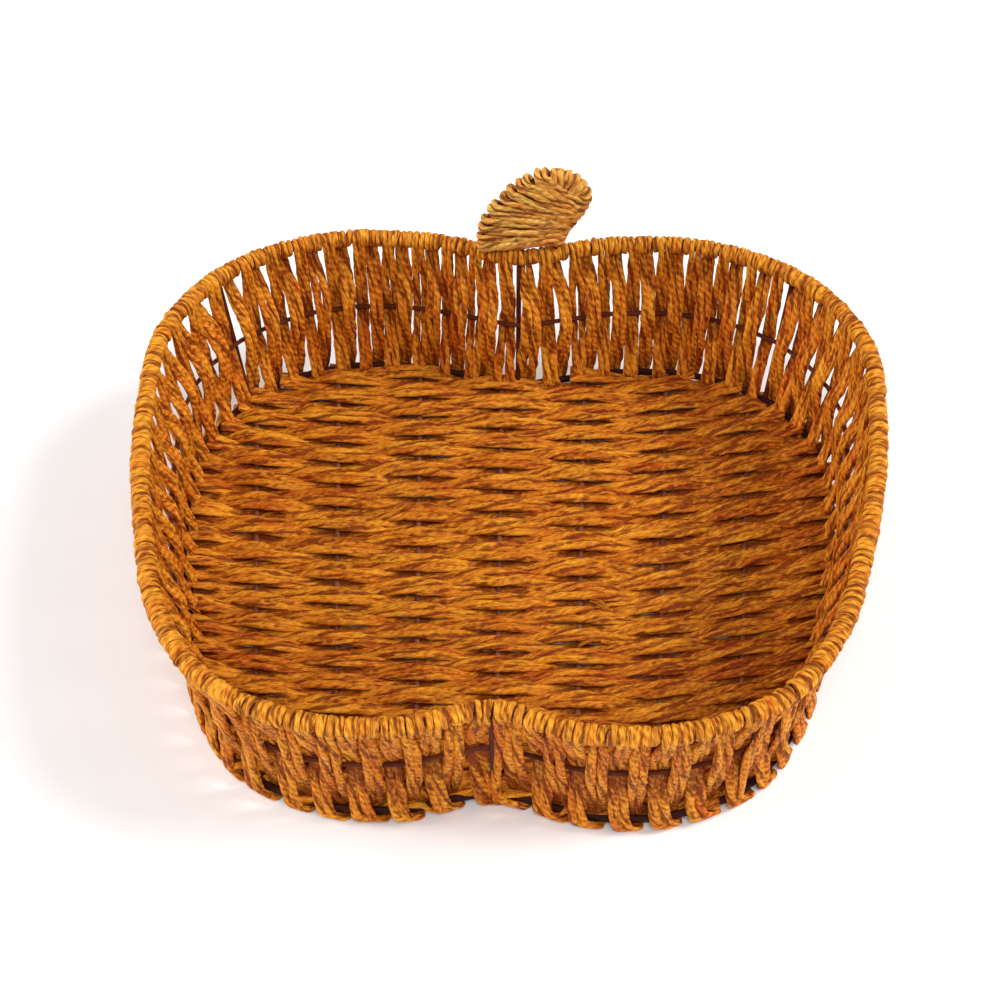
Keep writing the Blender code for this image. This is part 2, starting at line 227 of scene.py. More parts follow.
class Cords:
    """Strands of cord that make one piece."""

    def __init__(self, name):
        self.name = name
        self.rings, self.facts, self.spans = [], [], []

    def add(self, points, across, wide=1.0, thick=1.0, wander=0.2 * MM, fade=0.0, shelter=(0.0, 0.0)):
        """A strand along points.

        The shade pair darkens its two flat faces, the one towards up and the other, as painted shade. The light
        value lifts its tone as a painted highlight.
        """
        points = np.asarray(points, float)
        across = np.broadcast_to(np.asarray(across, float), points.shape)
        wide = np.broadcast_to(np.asarray(wide, float), len(points))
        thick = np.broadcast_to(np.asarray(thick, float), len(points))
        fade = np.broadcast_to(np.asarray(fade, float), len(points))
        shelter = [np.broadcast_to(np.asarray(side, float), len(points)) for side in shelter]
        travel = np.concatenate(([0.0], np.cumsum(np.linalg.norm(np.diff(points, axis=0), axis=1))))
        count = max(5, int(round(travel[-1] / CORD_STEP)) + 1)
        run = np.linspace(0, travel[-1], count)
        middle, across = (np.column_stack([np.interp(run, travel, line[:, side]) for side in range(3)])
                          for line in (points, across))
        wide, thick, fade, shade_up, shade_down = (np.interp(run, travel, line)
                                           for line in (wide, thick, fade, *shelter))
        along = np.gradient(middle, axis=0)
        along /= np.linalg.norm(along, axis=1)[:, None]
        across = across - along * (across * along).sum(1)[:, None]
        across /= np.linalg.norm(across, axis=1)[:, None]
        up = np.cross(along, across)
        middle = (middle + across * slow_noise(count, 17) * wander
                  + up * slow_noise(count, 13) * wander * 0.4)
        turn = (-2 * np.pi * run / (TWIST_PITCH * RNG.uniform(0.75, 1.3)) + RNG.uniform(0, 2 * np.pi)
                + slow_noise(count, 9)[:, 0] * 0.6)
        ridge = folds() + 0.10 * slow_noise(count, 3.2, AROUND) + 0.07 * slow_noise(count, 1.5, AROUND)
        radius = CORD_RADIUS * (1 + ridge + 0.08 * slow_noise(count, 9))
        angle = THETA + turn[:, None]
        ring = (middle[:, None]
                + (radius * np.cos(angle) * wide[:, None])[..., None] * across[:, None]
                + (radius * np.sin(angle) * thick[:, None])[..., None] * up[:, None])
        offset = RNG.uniform(0, 900)
        fibre = np.empty((count, AROUND, 3))
        fibre[..., 0] = np.cos(THETA) * CORD_RADIUS / MM
        fibre[..., 1] = np.sin(THETA) * CORD_RADIUS / MM
        fibre[..., 2] = (run / MM + offset)[:, None]
        tint = np.clip(RNG.normal(0, 0.45) + 0.5 * slow_noise(count, 22)[:, 0], -1, 1)
        self.rings.append(ring)
        # Painted shade in the section's grooves and on the shaded flat faces
        painted_shade = (np.clip(-ridge * 5, 0, 1) + 0.5 * (ease(np.sin(angle)) * shade_up[:, None]
                                                     + ease(-np.sin(angle)) * shade_down[:, None]))
        self.facts.append((fibre, np.repeat(tint, AROUND), np.repeat(fade, AROUND), painted_shade.ravel()))
        self.spans.append(travel[-1])

    def build(self, material, nodes):
        """One mesh, with a packed UV map for baking."""
        counts = [len(ring) for ring in self.rings]
        vertices = np.concatenate([ring.reshape(-1, 3) for ring in self.rings])
        girth = 2 * np.pi * CORD_RADIUS
        spans = np.array(self.spans)
        width = max(np.sqrt(spans.sum() * girth * 1.05), spans.max())
        shelves, used = [], 0.0
        for span in spans:
            if not shelves or used + span > width * 1.0001:
                shelves.append(0.0)
                used = 0.0
            shelves[-1] += span
            used += span
        rows = len(shelves)
        quads, uvs, starts = [], [], []
        first, row, used = 0, 0, 0.0
        corner = np.arange(AROUND)
        after = (corner + 1) % AROUND
        for count, span in zip(counts, spans):
            if used + span > width * 1.0001:
                row, used = row + 1, 0.0
            ring = first + AROUND * np.arange(count - 1)[:, None]
            quads.append(np.stack((ring + corner, ring + after, ring + AROUND + after,
                                   ring + AROUND + corner), axis=-1).reshape(-1, 4))
            along = (used + np.linspace(0.001, 0.999, count) * span) / width
            low, high = along[:-1, None], along[1:, None]
            bottom = (row + 0.02 + 0.96 * corner / AROUND) / rows
            top = (row + 0.02 + 0.96 * (corner + 1) / AROUND) / rows
            uv = np.empty((count - 1, AROUND, 4, 2))
            uv[..., 0, 0], uv[..., 1, 0], uv[..., 2, 0], uv[..., 3, 0] = low, low, high, high
            uv[..., 0, 1], uv[..., 1, 1], uv[..., 2, 1], uv[..., 3, 1] = bottom, top, top, bottom
            uvs.append(uv.reshape(-1, 2))
            starts.append((first, first + AROUND * (count - 1), used / width, (used + span) / width, row))
            first += AROUND * count
            used += span
        quads = np.concatenate(quads)
        caps, cap_uvs = [], []
        for start, end, left, right, row in starts:
            for ring, place in ((start + corner[::-1], left + 0.002), (end + corner, right - 0.002)):
                caps.append(ring)
                cap_uvs.append(np.column_stack((place + 0.001 * np.cos(THETA),
                                                (row + 0.5 + 0.3 * np.sin(THETA)) / rows)))
        loops = np.concatenate([quads.ravel(), *caps]).astype(np.int32)
        sizes = np.concatenate((np.full(len(quads), 4), np.full(len(caps), AROUND)))
        mesh = bpy.data.meshes.new(self.name)
        mesh.vertices.add(len(vertices))
        mesh.vertices.foreach_set("co", vertices.ravel())
        mesh.loops.add(len(loops))
        mesh.loops.foreach_set("vertex_index", loops)
        mesh.polygons.add(len(sizes))
        loop_starts = np.concatenate(([0], np.cumsum(sizes)[:-1]))
        mesh.polygons.foreach_set("loop_start", loop_starts.astype(np.int32))
        mesh.update(calc_edges=True)
        mesh.polygons.foreach_set("use_smooth", np.concatenate((np.ones(len(quads), bool),
                                                                np.zeros(len(caps), bool))))
        layer = mesh.uv_layers.new(name="OFBake")
        layer.data.foreach_set("uv", np.concatenate([*uvs, *cap_uvs]).ravel().astype(np.float32))
        fibre = np.concatenate([fact[0].reshape(-1, 3) for fact in self.facts])
        mesh.attributes.new("fibre", "FLOAT_VECTOR", "POINT").data.foreach_set("vector", fibre.ravel())
        tint, fade, painted_shade = (np.concatenate([fact[index] for fact in self.facts]) for index in (1, 2, 3))
        for name, values in (("painted_shade", painted_shade), ("tint", tint), ("fade", fade)):
            mesh.attributes.new(name, "FLOAT", "POINT").data.foreach_set("value", values.astype(np.float32))
        mesh.materials.append(material)
        mesh.validate()
        made = bpy.data.objects.new(self.name, mesh)
        bpy.context.scene.collection.objects.link(made)
        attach(made, "root")
        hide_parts(*nodes)


# ---------------------------------------------------------------- materials

def srgb(red, green, blue):
    found = [((level / 255 + 0.055) / 1.055) ** 2.4 if level > 10 else level / 255 / 12.92
             for level in (red, green, blue)]
    return (*found, 1.0)


class Shader:
    """A material's node tree, built a node at a time."""

    def __init__(self, name):
        self.material = bpy.data.materials.new(name)
        self.material.use_nodes = True
        self.tree = self.material.node_tree
        self.surface = self.tree.nodes["Principled BSDF"]

    def node(self, kind, settings=(), **inputs):
        made = self.tree.nodes.new(kind)
        for key, value in dict(settings).items():
            setattr(made, key, value)
        for key, value in inputs.items():
            self.feed(made.inputs[key], value)
        return made

    def feed(self, socket, value):
        if isinstance(value, bpy.types.NodeSocket):
            self.tree.links.new(value, socket)
        else:
            socket.default_value = value

    def attribute(self, name, output):
        return self.node("ShaderNodeAttribute", {"attribute_name": name}).outputs[output]

    def math(self, operation, *values):
        made = self.node("ShaderNodeMath", {"operation": operation})
        for socket, value in zip(made.inputs, values):
            self.feed(socket, value)
        return made.outputs[0]

    def blend(self, share, low, high):
        made = self.node("ShaderNodeMix", {"data_type": "RGBA"})
        for socket, value in ((made.inputs[0], share), (made.inputs[6], low), (made.inputs[7], high)):
            self.feed(socket, value)
        return made.outputs[2]

    def stretched_noise(self, vector, scale, detail=2.0, rough=0.5):
        """Noise whose scale differs by direction, from a vector."""
        mapped = self.node("ShaderNodeMapping", Vector=vector, Scale=scale).outputs[0]
        return self.node("ShaderNodeTexNoise", Vector=mapped, Scale=1.0, Detail=detail,
                         Roughness=rough).outputs["Fac"]

    def ramp(self, value, low, high):
        """A value taken from low..high to 0..1, smoothly."""
        made = self.node("ShaderNodeMapRange", {"interpolation_type": "SMOOTHSTEP"})
        for socket, number in zip(made.inputs, (value, low, high, 0.0, 1.0)):
            self.feed(socket, number)
        return made.outputs[0]


def cord_material(name, shade, light, deep_shade, twist):
    """Twisted paper: long creases that run with the ply, with painted shade in the grooves and a painted
    highlight on the crests, over the paper's own patchy tone.
    """
    shader = Shader(name)
    fibre = shader.attribute("fibre", "Vector")
    painted_shade = shader.attribute("painted_shade", "Fac")
    tint = shader.attribute("tint", "Fac")
    fade = shader.attribute("fade", "Fac")
    creases = shader.stretched_noise(fibre, (1.8, 1.8, 0.32), 4.0, 0.7)
    fine = shader.stretched_noise(fibre, (4.0, 4.0, 0.5), 3.0, 0.6)
    patches = shader.stretched_noise(fibre, (0.22, 0.22, 0.06), 2.0)
    place = shader.node("ShaderNodeSeparateXYZ", Vector=fibre).outputs
    turn = shader.math("MULTIPLY", shader.math("ARCTAN2", place[1], place[0]), 2.0)
    turn = shader.math("MULTIPLY_ADD", place[2], 1.7, turn)
    plies = shader.math("SINE", shader.math("MULTIPLY_ADD", creases, 9.0, turn))
    tone = shader.math("MULTIPLY_ADD", tint, 0.10, 0.5)
    tone = shader.math("ADD", tone, shader.math("MULTIPLY", shader.math("SUBTRACT", patches, 0.5), 0.7))
    # The creases and ply twist lighten the tone on their crests and darken it in their hollows, following the
    # bump: a painted highlight and painted shade
    tone = shader.math("ADD", tone, shader.math("MULTIPLY", shader.math("SUBTRACT", creases, 0.5), 1.3))
    tone = shader.math("MULTIPLY_ADD", plies, twist, tone)
    # Painted light lifts the tone near the rim, on the leaf and on the cover strand
    tone = shader.math("ADD", tone, shader.math("MULTIPLY", fade, 0.12))
    colour = shader.blend(shader.ramp(tone, 0.1, 0.95), shade, light)
    # Painted shade: the section's grooves, the shaded faces and the hollows of creases and plies take the dark
    # colour
    crease_shade = shader.math("ADD", shader.math("MULTIPLY", painted_shade, 0.55), shader.math("MULTIPLY", creases, -0.9))
    crease_shade = shader.math("MULTIPLY_ADD", plies, -0.6 * twist, crease_shade)
    crease_shade = shader.ramp(crease_shade, -0.54, -0.06)
    colour = shader.blend(shader.math("MULTIPLY", crease_shade, CREASE_SHADE), colour, deep_shade)
    speck = shader.ramp(fine, 0.56, 0.72)
    colour = shader.blend(shader.math("MULTIPLY", speck, 0.4), colour, light)
    shader.feed(shader.surface.inputs["Base Color"], colour)
    rough = shader.math("MULTIPLY_ADD", fine, 0.35, 0.45)
    shader.feed(shader.surface.inputs["Roughness"], rough)
    shader.surface.inputs["Specular IOR Level"].default_value = 0.14
    height = shader.math("ADD", shader.math("MULTIPLY", fine, 0.35),
                         shader.math("MULTIPLY_ADD", plies, 1.6 * twist, creases))
    bump = shader.node("ShaderNodeBump", Strength=0.8, Distance=0.0006, Height=height)
    shader.feed(shader.surface.inputs["Normal"], bump.outputs[0])
    return shader.material


def wire_material(name, low, high):
    """Brown paint on steel wire, uneven and slightly worn."""
    shader = Shader(name)
    place = shader.node("ShaderNodeTexCoord").outputs["Object"]
    broad = shader.node("ShaderNodeTexNoise", Vector=place, Scale=70.0, Detail=3.0).outputs["Fac"]
    fine = shader.node("ShaderNodeTexNoise", Vector=place, Scale=900.0, Detail=2.0).outputs["Fac"]
    colour = shader.blend(shader.ramp(broad, 0.3, 0.7), low, high)
    worn = shader.math("MULTIPLY", shader.ramp(fine, 0.62, 0.8), 0.4)
    colour = shader.blend(worn, colour, srgb(130, 76, 50))
    shader.feed(shader.surface.inputs["Base Color"], colour)
    shader.feed(shader.surface.inputs["Roughness"], shader.math("MULTIPLY_ADD", fine, 0.3, 0.42))
    shader.surface.inputs["Specular IOR Level"].default_value = 0.15
    bump = shader.node("ShaderNodeBump", Strength=0.4, Distance=0.0002, Height=fine)
    shader.feed(shader.surface.inputs["Normal"], bump.outputs[0])
    return shader.material


# ---------------------------------------------------------------- wall and rim

def bent_line(heights, top, middle, bottom):
    """Offsets at heights of a taut cord that bends softly at the mid ring. Each end is (height, out)."""
    def rise(height):
        return np.sqrt((height - middle[0]) ** 2 + SOFT_BEND ** 2) - SOFT_BEND

    matrix = [[end[0] - middle[0], rise(end[0])] for end in (top, bottom)]
    slope, fold = np.linalg.solve(matrix, [top[1] - middle[1], bottom[1] - middle[1]])
    return middle[1] + slope * (heights - middle[0]) + fold * rise(heights)


def rim_arc(outline, start, end, slack=0.0):
    """(out, height) of a cord's middle round the rim wire, by angle from the outside over the top."""
    angle = np.radians(np.linspace(start, end, max(4, int(abs(end - start) / 12))))
    reach = WRAP_REACH + slack
    return reach * np.cos(angle), outline.rim_height + reach * np.sin(angle)


def lacing_section(outline, length, out, height, turn):
    """Width, thickness, nearness to the rim and painted shade on the faces along a lacing cord, which goes down
    as far as turn.
    """
    rim, base, mid = outline.rim_height, outline.base_height, outline.mid_height
    near_rim = ease((height - rim + 9 * MM) / (7 * MM))
    low = ease((rim - height) / (18 * MM))
    wide = (0.96 + 0.24 * low) * np.clip(outline.stretch(length, out), 0.8, 1.35) ** 0.7
    wide *= 1 + 0.22 * ease((base + 2 * MM - height) / (3 * MM))
    thick = SIDE_FLAT + (RIM_FLAT - SIDE_FLAT) * near_rim
    wall = np.interp(height, (base, mid, rim), (-outline.flare, outline.mid_out, 0.0))
    falling = np.arange(len(out)) < turn
    wide *= np.where(falling, 1.0, 1 + 0.1 * low)
    # Painted shade on a face set back behind the wall's inner or outer surface: from inside at half strength
    # and none near the rim, from outside only on the lower wall
    inside_face_shade = 0.5 * ease((out - wall + MM) / (3.5 * MM)) * (1 - near_rim)
    outside_face_shade = ease((1.5 * MM - out + wall) / (3.5 * MM)) * ease((mid + 4 * MM - height) / (9 * MM))
    shelter = (np.where(falling, outside_face_shade, inside_face_shade), np.where(falling, inside_face_shade, outside_face_shade))
    return wide, thick, near_rim, *shelter


def lacing_cord(outline, part, crossing, inner, outer):
    """One cord: round the rim, down inside, under the base ring, up outside and round the rim again.

    A part of "inside" or "outside" ends under the base ring. The cord moves sideways from the crossing, an
    angle round the base ring. Inner and outer give its places along the rim line at the rim, at the mid ring
    and at the base ring.
    """
    inner_wrap, inner_mid, inner_base = inner
    outer_wrap, outer_mid, outer_base = outer
    rim, base, mid = outline.rim_height, outline.base_height, outline.mid_height
    slack = RNG.uniform(-0.15, 0.35, 2) * MM
    wrap_in = rim_arc(outline, *WRAP_IN, slack[0])
    wrap_out = rim_arc(outline, *WRAP_OUT, slack[1])
    down = np.linspace(wrap_in[1][-1], base + 0.5 * MM, SIDE_STEPS)[1:-1]
    inside = bent_line(down, (wrap_in[1][-1], wrap_in[0][-1]), (mid, outline.mid_out + MID_REACH),
                       (base, -outline.flare - BASE_REACH))
    rise = np.linspace(base + 0.5 * MM, wrap_out[1][0], SIDE_STEPS)[1:-1]
    outside = bent_line(rise, (wrap_out[1][0], wrap_out[0][0]), (mid, outline.mid_out - MID_REACH),
                        (base, -outline.flare + BASE_REACH))
    under = np.radians(np.linspace(180, 360, UNDER_STEPS))
    out = np.concatenate((wrap_in[0], inside, -outline.flare + BASE_REACH * np.cos(under), outside,
                          wrap_out[0]))
    height = np.concatenate((wrap_in[1], down, base + BASE_REACH * np.sin(under), rise, wrap_out[1]))

    def sideways(heights, wrap, middle, foot):
        low = middle + (foot - middle) * np.clip((mid - heights) / (mid - base), -0.6, 1)
        return low + (wrap - low) * ease((heights - rim + 27 * MM) / (23 * MM))

    tilt = RNG.uniform(0.0, 1.9, 2) * MM
    step = outer_base - inner_base
    still_aside = (1 - CROSSED) * step * (1 - ease((rise - base) / (6 * MM)))
    length = np.concatenate((
        inner_wrap + tilt[0] * np.linspace(-1, 0, len(wrap_in[0])),
        sideways(down, inner_wrap, inner_mid, inner_base),
        inner_base + CROSSED * step * ease((under - crossing) / (FULL_TURN - crossing)),
        sideways(rise, outer_wrap, outer_mid, outer_base) - still_aside,
        outer_wrap + tilt[1] * np.linspace(0, 1, len(wrap_out[0]))))
    points, across = outline.place(length, out, height)
    turn = len(wrap_in[0]) + len(down)
    kept = {"inside": slice(0, turn + UNDER_STEPS - 3), "outside": slice(turn + 3, None),
            "whole": slice(None)}[part]
    section = lacing_section(outline, length, out, height, turn)
    wide, thick, near_rim, *shelter = (line[kept] for line in section)
    return points[kept], across[kept], wide, thick, near_rim, shelter


def cover_cord(outline, wrap, middle, foot):
    """A strand down the outside of an upright, over the mid ring."""
    rim, base, mid = outline.rim_height, outline.base_height, outline.mid_height
    over = rim_arc(outline, *WRAP_OUT[::-1])
    fall = np.linspace(over[1][-1], base + 0.5 * MM, SIDE_STEPS)[1:-1]
    outside = bent_line(fall, (over[1][-1], over[0][-1]), (mid, outline.mid_out + MID_REACH + 0.1 * MM),
                        (base, -outline.flare + BASE_REACH))
    under = np.radians(np.linspace(360, 180, UNDER_STEPS))
    out = np.concatenate((over[0], outside, -outline.flare + BASE_REACH * np.cos(under)))
    height = np.concatenate((over[1], fall, base + BASE_REACH * np.sin(under)))
    length = np.interp(height, (base, mid, rim - 9 * MM), (foot, middle, wrap))
    points, across = outline.place(length, out, height)
    return points, across, 1.06, 0.78


def rim_turn(outline, length, pitch):
    """A cord turn that only goes round the rim wire."""
    out, height = rim_arc(outline, *WRAP_ROUND, RNG.uniform(-0.25, 0.35) * MM)
    lengths = length + pitch * np.linspace(-0.35, 0.35, len(out))
    return outline.place(lengths, out, height)


def wrap_order(periods, wraps, margins, covered):
    """The turns round the rim in a bay: two inner and two outer cords and a free turn or two a period."""
    ends = [["free"] if margin > 1.0 else [] for margin in margins]
    if covered:
        ends = [["cover"], []]
    spare = wraps - 5 * periods - len(ends[0]) - len(ends[1])
    picks = set(RNG.permutation(periods - 1)[:max(spare, 0)].tolist())
    order = list(ends[0])
    for period in range(periods):
        order += [(period, "in", 0), (period, "in", 1), "free", (period, "out", 0), (period, "out", 1)]
        if period in picks:
            order.append("free")
    return order + ends[1]


def is_bare(outline, length):
    """The one short stretch of bare rim wire, right of the leaf."""
    point = outline.at(np.array([length]))[0][0]
    return point[1] > 0 and abs(point[0] - BARE_RIM) < BARE_HALF


def lace_bay(outline, cords, rim_cords, start, end, name):
    span = end - start
    periods, *margins, fullness = BAYS[name]
    order = wrap_order(periods, int(round(span / WRAP_PITCH)), margins, name in COVERED)
    pitch = span / len(order)
    wraps = {}
    for index, turn in enumerate(order):
        length = start + (index + 0.5) * pitch + RNG.normal(0, 0.12) * MM
        if turn == "free" and is_bare(outline, length):
            continue
        if turn == "free":
            points, across = rim_turn(outline, length, pitch * RNG.uniform(-0.3, 1.6))
            wide = RNG.uniform(0.88, 1.12) * pitch / WRAP_PITCH
            # Rim turns take full painted light, a painted highlight for the lit top of the rim
            rim_cords.add(points, across, wide, RNG.uniform(0.58, 0.80), 0.15 * MM, 1.0)
        else:
            wraps[turn] = length
    period_length = (span - sum(margins) * MM) / periods
    first = start + margins[0] * MM
    lean = RNG.normal(0.10, 0.04, periods)
    drift = RNG.normal(0, 0.02, periods)
    for period in range(-1, periods):
        ahead = period + 1
        part = "inside" if period < 0 else "outside" if ahead == periods else "whole"
        for index in (0, 1):
            inner = first + period_length * (ahead + 0.13 + 0.235 * index + drift[ahead % periods])
            outer = first + period_length * (period + 0.625 + 0.24 * index + drift[period])
            noise = RNG.normal(0, 0.35, 4) * MM
            points, across, wide, thick, near_rim, shelter = lacing_cord(
                outline, part, CROSSINGS[index],
                (wraps.get((ahead, "in", index), inner), inner + noise[0], inner + noise[2]),
                (wraps.get((period, "out", index), outer), outer + noise[1],
                 outer + noise[3] + period_length * lean[period]))
            narrow = np.clip(period_length / LACING_PERIOD, 0.86, 1.04) * RNG.uniform(0.94, 1.06) * fullness
            # The cord takes painted light near the rim and painted shade on its set-back faces
            cords.add(points, across, wide * narrow, thick, 0.2 * MM, near_rim, shelter)
    if name in COVERED:
        lean = COVERED[name] * MM
        # The cover strand takes a little painted light
        cords.add(*cover_cord(outline, wraps["cover"] + lean * 0.5, start + lean * 0.6, start), fade=0.3)


def make_wall(outline, material, rim_material):
    stations = [outline.nearest(wire_ends("upright_" + name, 2)[1]) for name in UPRIGHTS]
    stations[0] = 0.0
    stations.append(outline.perimeter)
    rim_cords = Cords("rim_turns")
    for name, start, end in zip(BAYS, stations, stations[1:]):
        cords = Cords("wall_cord_" + name)
        lace_bay(outline, cords, rim_cords, start, end, name)
        cords.build(material, ["wall_lacing_" + name])
    rim_cords.build(rim_material, ["rim_binding"])


# ---------------------------------------------------------------- floor

class Floor:
    """Rows of paired cord, over and under the seven stakes, out to the base ring."""

    def __init__(self, outline):
        self.outline = outline
        self.stakes = [wire_ends(f"floor_stake_{index + 1}", 1) for index in range(STAKES)]
        ring = outline.points - outline.normals * outline.flare
        angle = np.arctan2(ring[:, 1], ring[:, 0])
        order = np.argsort(angle)
        self.angles, self.reach = angle[order], np.linalg.norm(ring, axis=1)[order]

    def inside(self, x, y):
        reach = np.interp(np.arctan2(y, x), self.angles, self.reach, period=2 * np.pi)
        return np.hypot(x, y) < reach

    def line(self, row, x):
        """Where a row lies, front to back, at places across. Rows bow forward, and rise towards both sides."""
        bulge = 6.6 * MM * np.exp(-((row - 16) / 5.8) ** 2)
        right = np.maximum(x - 52 * MM, 0)
        left = np.maximum(-x - 62 * MM, 0)
        sweep = 0.22 * right ** 2 / (right + 14 * MM) + 0.12 * left ** 2 / (left + 14 * MM)
        return FIRST_ROW - ROW_PITCH * row - bulge + sweep

    def stake_at(self, index, row):
        front, back = self.stakes[index]
        x = 0.0
        for _ in range(4):
            y = self.line(row, np.array([x]))[0]
            x = front[0] + (back[0] - front[0]) * (y - front[1]) / (back[1] - front[1])
        return x

    def runs(self, row):
        x = np.arange(-150, 150.01, 0.5) * MM
        found = self.inside(x, self.line(row, x)).astype(int)
        edges = np.diff(np.concatenate(([0], found, [0])))
        for start, end in zip(np.nonzero(edges == 1)[0], np.nonzero(edges == -1)[0] - 1):
            if x[end] - x[start] > 14 * MM:
                yield x[start], x[end]

    def weave(self, row, start, end):
        """(places across, heights as a share of the lift) for one run of a row."""
        ties = [(self.stake_at(index, row), 1 if (row + index) % 2 else -1) for index in range(STAKES)]
        ties = [tie for tie in ties if start + 7 * MM < tie[0] < end - 7 * MM]
        first = -ties[0][1] if ties else 1
        last = -ties[-1][1] if ties else -1
        ties = [(start, 1.15 * first), *ties, (end, 1.15 * last)]
        across, lift = [], []
        for (near, low), (far, high) in zip(ties, ties[1:]):
            share = np.linspace(0, 1, max(6, int((far - near) / (1.5 * MM))))[:-1]
            wave = np.cos(np.pi * share)
            wave = np.sign(wave) * np.abs(wave) ** 0.9
            across.append(near + (far - near) * share)
            lift.append(low * (1 + wave) / 2 + high * (1 - wave) / 2)
        return np.append(np.concatenate(across), end), np.append(np.concatenate(lift), 1.15 * last)

    def add_row(self, cords, row):
        for start, end in self.runs(row):
            across, lift = self.weave(row, start, end)
            middle = self.line(row, across)
            room = (self.line(row - 1, across) - self.line(row + 1, across)) / (2 * ROW_PITCH)
            over, below = np.maximum(lift, 0) ** 2, np.maximum(-lift, 0) ** 2
            for side in (1, -1):
                apart = (1.58 + 0.62 * over + 0.34 * below) * MM * side * room + 0.8 * MM * below
                height = (self.outline.base_height + (WEAVE_LIFT - 0.3 * MM * below) * lift
                          + RNG.normal(0, 0.1) * MM)
                points = np.column_stack((across, middle + apart, height))
                wide = (1.12 + 0.14 * over + 0.28 * below) * room
                # Painted shade where a cord passes under a stake, and a painted shadow of the right wall over
                # the right of the floor
                deep_shade = np.clip(0.9 * below + 0.35 * ease((across - 50 * MM) / (30 * MM)), 0, 1)
                cords.add(points, (0.0, 1.0, 0.0), wide, 0.80, 0.28 * MM, shelter=(deep_shade, deep_shade))


def make_floor(outline, material):
    floor = Floor(outline)
    rows = [row for row in range(-8, 36) if list(floor.runs(row))]
    shares = np.array_split(rows, FLOOR_PIECES)
    for index, share in enumerate(shares):
        cords = Cords(f"floor_weft_{index + 1}")
        for row in share:
            floor.add_row(cords, int(row))
        cords.build(material, ["floor_weave"])


# ---------------------------------------------------------------- leaf

class Leaf:
    """The bent wire loop on the back of the rim. Points are (across, up, towards the front)."""

    def __init__(self, outline):
        self.outline = outline
        knots = np.array([(LEAF_FEET[0], 0.0), *LEAF_PATH, (LEAF_FEET[1], 0.0)])
        padded = np.vstack((2 * knots[0] - knots[1], knots, 2 * knots[-1] - knots[-2]))
        t = np.linspace(0, 1, 16, endpoint=False)[:, None]
        line = []
        for before, start, end, after in zip(padded, padded[1:], padded[2:], padded[3:]):
            line.append(start + 0.5 * t * (end - before + t * (
                2 * before - 5 * start + 4 * end - after + t * (3 * (start - end) + after - before))))
        self.line = np.vstack((*line, knots[-1:]))
        self.lengths = np.concatenate(([0.0], np.cumsum(np.linalg.norm(np.diff(self.line, axis=0), axis=1))))
        self.slant = np.arctan2(outline.flare, outline.rim_height - outline.base_height)
        middle = outline.points[:, 1] > 0
        foot = outline.points[middle][np.argmin(np.abs(outline.points[middle][:, 0]))]
        self.foot = np.array((0.0, foot[1], outline.rim_height))

    def on_wire(self, length):
        """A point on the wire and the direction out of the loop there."""
        point = np.array([np.interp(length, self.lengths, self.line[:, side]) for side in (0, 1)])
        ahead = np.array([np.interp(length + MM, self.lengths, self.line[:, side]) for side in (0, 1)])
        behind = np.array([np.interp(length - MM, self.lengths, self.line[:, side]) for side in (0, 1)])
        along = (ahead - behind) / np.linalg.norm(ahead - behind)
        return point, np.array((-along[1], along[0]))

    def world(self, points):
        across, up, front = np.asarray(points).T
        cosine, sine = np.cos(self.slant), np.sin(self.slant)
        return self.foot + np.column_stack((across, up * sine - front * cosine, up * cosine + front * sine))

    def half_turn(self, length, start, end):
        """Round the wire, by angle from out of the loop towards the front."""
        point, out = self.on_wire(length)
        angle = np.radians(np.linspace(start, end, 9))
        return np.column_stack((point + np.cos(angle)[:, None] * out * LEAF_REACH, np.sin(angle) * LEAF_REACH))

    def add_passes(self, cords):
        """The cord laced from side to side, down the front and back behind."""
        left = np.linspace(*LEAF_LEFT, LEAF_PASSES) * MM + RNG.normal(0, 0.4, LEAF_PASSES) * MM
        right = (self.lengths[-1] - np.linspace(*LEAF_RIGHT, LEAF_PASSES) * MM
                 + RNG.normal(0, 0.5, LEAF_PASSES) * MM)
        for index in range(LEAF_PASSES):
            turns = [self.half_turn(left[index], -100, 80), self.half_turn(right[index], 100, -80)]
            if index + 1 < LEAF_PASSES:
                turns.append(self.half_turn(left[index + 1], -100, -96))
            path = [turns[0]]
            for near, far in zip(turns, turns[1:]):
                share = np.linspace(0, 1, 14)[1:-1, None]
                path += [near[-1] + (far[0] - near[-1]) * share, far]
            # Each pass takes some painted light, a painted highlight on the leaf's face
            cords.add(self.world(np.vstack(path)), (0.0, 0.0, 1.0), RNG.uniform(0.9, 1.3), 0.72,
                      1.0 * MM, 0.4)

    def add_tip(self, cords):
        """Long turns round the wire that close the tip."""
        for length in np.linspace(*LEAF_TIP, TIP_TURNS) * MM:
            point, out = self.on_wire(length + RNG.normal(0, 0.3) * MM)
            angle = np.radians(np.linspace(-100, 255, 22))
            inward = RNG.uniform(2.6, 4.2) * MM
            aside = np.where(np.cos(angle) < 0, np.cos(angle) * inward, 0.0)
            reach = np.cos(angle) * LEAF_REACH + aside
            flat = point + reach[:, None] * out
            path = np.column_stack((flat, np.sin(angle) * (LEAF_REACH - 0.2 * MM)))
            along = np.array((out[1], 0.0, -out[0]))
            # Each turn takes some painted light, a painted highlight on the leaf's face
            cords.add(self.world(path), along, RNG.uniform(1.0, 1.2), 0.72, 0.3 * MM, 0.4)


def make_leaf(outline, material):
    leaf = Leaf(outline)
    cords = Cords("leaf_cord")
    leaf.add_passes(cords)
    leaf.add_tip(cords)
    cords.build(material, ["leaf_wrap"])


# ---------------------------------------------------------------- cut ends of cord

